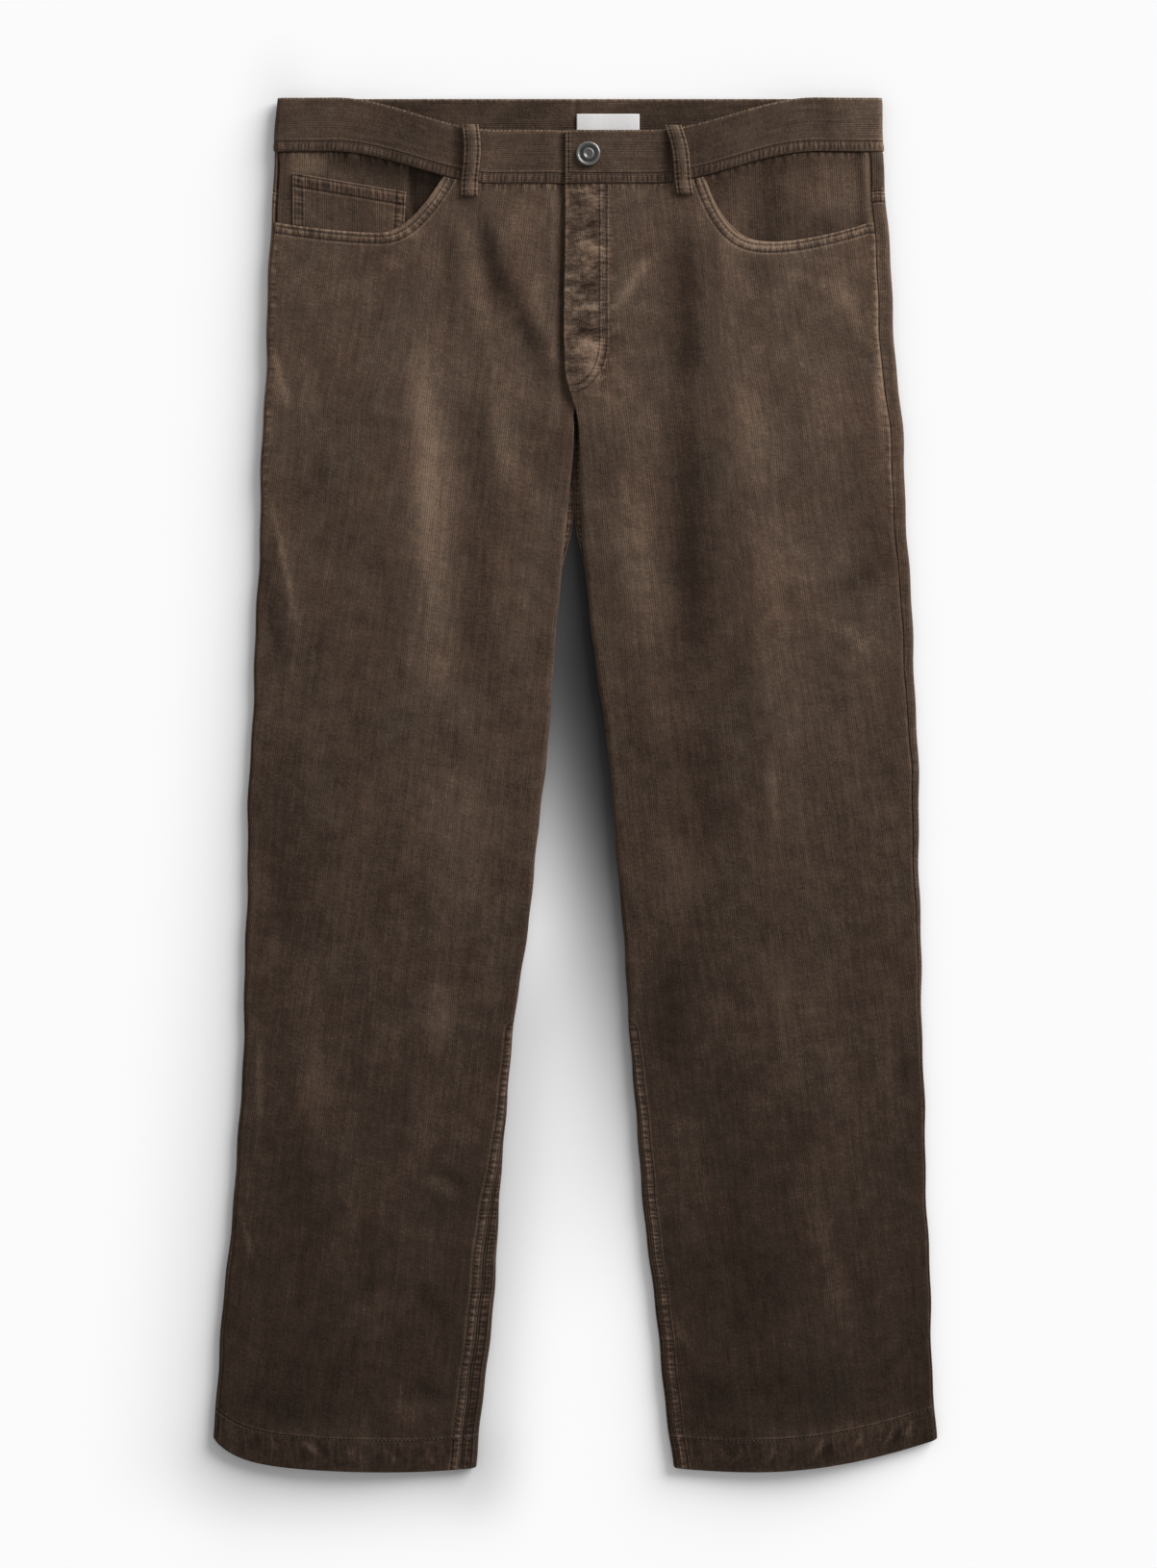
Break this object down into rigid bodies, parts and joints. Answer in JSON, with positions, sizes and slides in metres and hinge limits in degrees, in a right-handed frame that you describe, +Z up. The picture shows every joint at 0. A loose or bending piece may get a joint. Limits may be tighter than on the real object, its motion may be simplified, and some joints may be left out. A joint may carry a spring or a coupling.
{
  "type": "corduroy trousers",
  "caption": "Men's five-pocket corduroy trousers in dark taupe brown, laid out flat with the front up, with a fly, a shank button and straight legs.",
  "frame": {"origin": "on the surface that the trousers lie on, under the middle of their bounding box", "axes": "+Z up from that surface, +Y along the garment from the hems to the waist, +X across it towards the wearer's left leg"},
  "size_m": [0.5627, 1.072, 0.0229],
  "materials": {
    "corduroy": "matte",
    "label_cloth": "matte",
    "button_metal": "satin"
  },
  "bodies": {
    "root": {"front_right": "corduroy", "front_left": "corduroy", "back_right": "corduroy", "back_left": "corduroy", "yoke_right": "corduroy", "yoke_left": "corduroy", "waistband": "corduroy", "pocket_facing_right": "corduroy", "pocket_facing_left": "corduroy", "coin_pocket": "corduroy", "patch_pocket_right": "corduroy", "patch_pocket_left": "corduroy", "belt_loop_front_right": "corduroy", "belt_loop_front_left": "corduroy", "belt_loop_back_right": "corduroy", "belt_loop_back_left": "corduroy", "belt_loop_back_centre": "corduroy", "label": "label_cloth", "button": "button_metal"}
  },
  "joints": []
}
